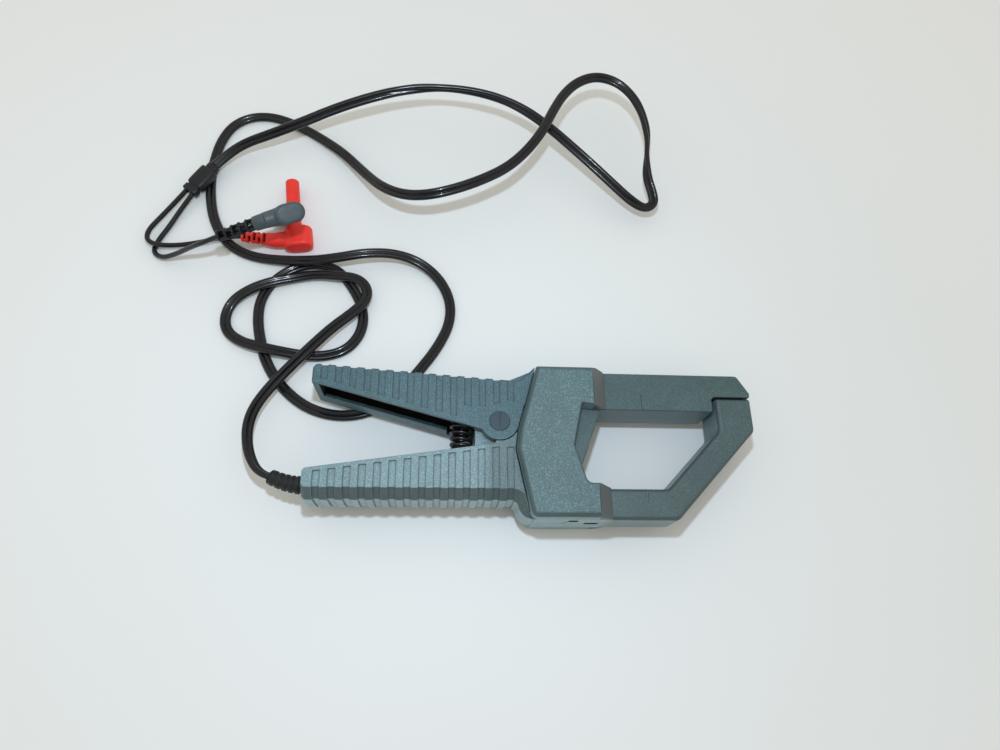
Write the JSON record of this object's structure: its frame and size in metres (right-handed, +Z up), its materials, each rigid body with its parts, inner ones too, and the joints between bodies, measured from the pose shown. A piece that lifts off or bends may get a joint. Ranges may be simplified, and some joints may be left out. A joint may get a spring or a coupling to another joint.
{
  "type": "clamp meter",
  "caption": "Clamp-on current probe with sprung plier handles, a jaw that opens round a conductor, and a twin cord to two shrouded right-angle test plugs",
  "frame": {"origin": "under the middle of the probe's own bounding box, on the surface that the head block lies on", "axes": "+X from the handles to the jaw tip, +Y from the fixed handle to the moving handle, +Z up"},
  "size_m": [0.3903, 0.3224, 0.0497],
  "materials": {
    "painted_casing": "fine spark-textured moulding",
    "head_casing": "fine spark-textured moulding",
    "core_steel": "stacked laminations",
    "bobbin_plastic": "moulded",
    "copper_winding": "enamelled wire",
    "board": "solder mask",
    "steel": "plated",
    "black_steel": "blackened spring wire",
    "brass": "turned",
    "cap_plastic": "smooth moulded",
    "liner_plastic": "moulded",
    "black_rubber": "moulded, slightly glossy",
    "cord_jacket": "smooth, glossy",
    "red_plug": "satin moulded",
    "black_plug": "satin moulded",
    "contact_metal": "nickel plated"
  },
  "bodies": {
    "body": {"body_shell_top": "painted_casing", "body_shell_bottom": "painted_casing", "head_cover_top": "head_casing", "head_cover_bottom": "head_casing", "fixed_core": "core_steel", "coil_bobbin": "bobbin_plastic", "coil_winding": "copper_winding", "circuit_board": "board", "board_parts": "bobbin_plastic", "board_screws": "steel", "inner_leads": "cord_jacket", "cord_anchor": "bobbin_plastic", "hinge_bush": "brass", "head_screws": "steel", "handle_screws": "steel", "strain_relief": "black_rubber", "handle_spring": "black_steel", "cord_twin": "cord_jacket", "cord_splitter": "black_rubber", "lead_red": "cord_jacket", "lead_black": "cord_jacket", "red_plug_body": "red_plug", "red_contact": "contact_metal", "red_boot": "red_plug", "black_plug_body": "black_plug", "black_contact": "contact_metal", "black_boot": "black_rubber"},
    "lever": {"lever_shell_top": "painted_casing", "lever_shell_bottom": "painted_casing", "moving_core": "core_steel", "hinge_pin": "steel", "pin_cap_top": "cap_plastic", "pin_cap_bottom": "cap_plastic", "channel_liner": "liner_plastic", "spring_cup": "liner_plastic", "lever_screws": "steel"}
  },
  "joints": [
    {"name": "handle_squeeze", "type": "hinge", "parent": "body", "child": "lever", "pos_m": [-0.0225, 0.011, 0.0225], "axis": [0, 0, 1], "range_deg": [0, 20], "stiffness_Nm_per_rad": 2.5, "springref_deg": -17.19, "deforming": ["handle_spring"]}
  ]
}
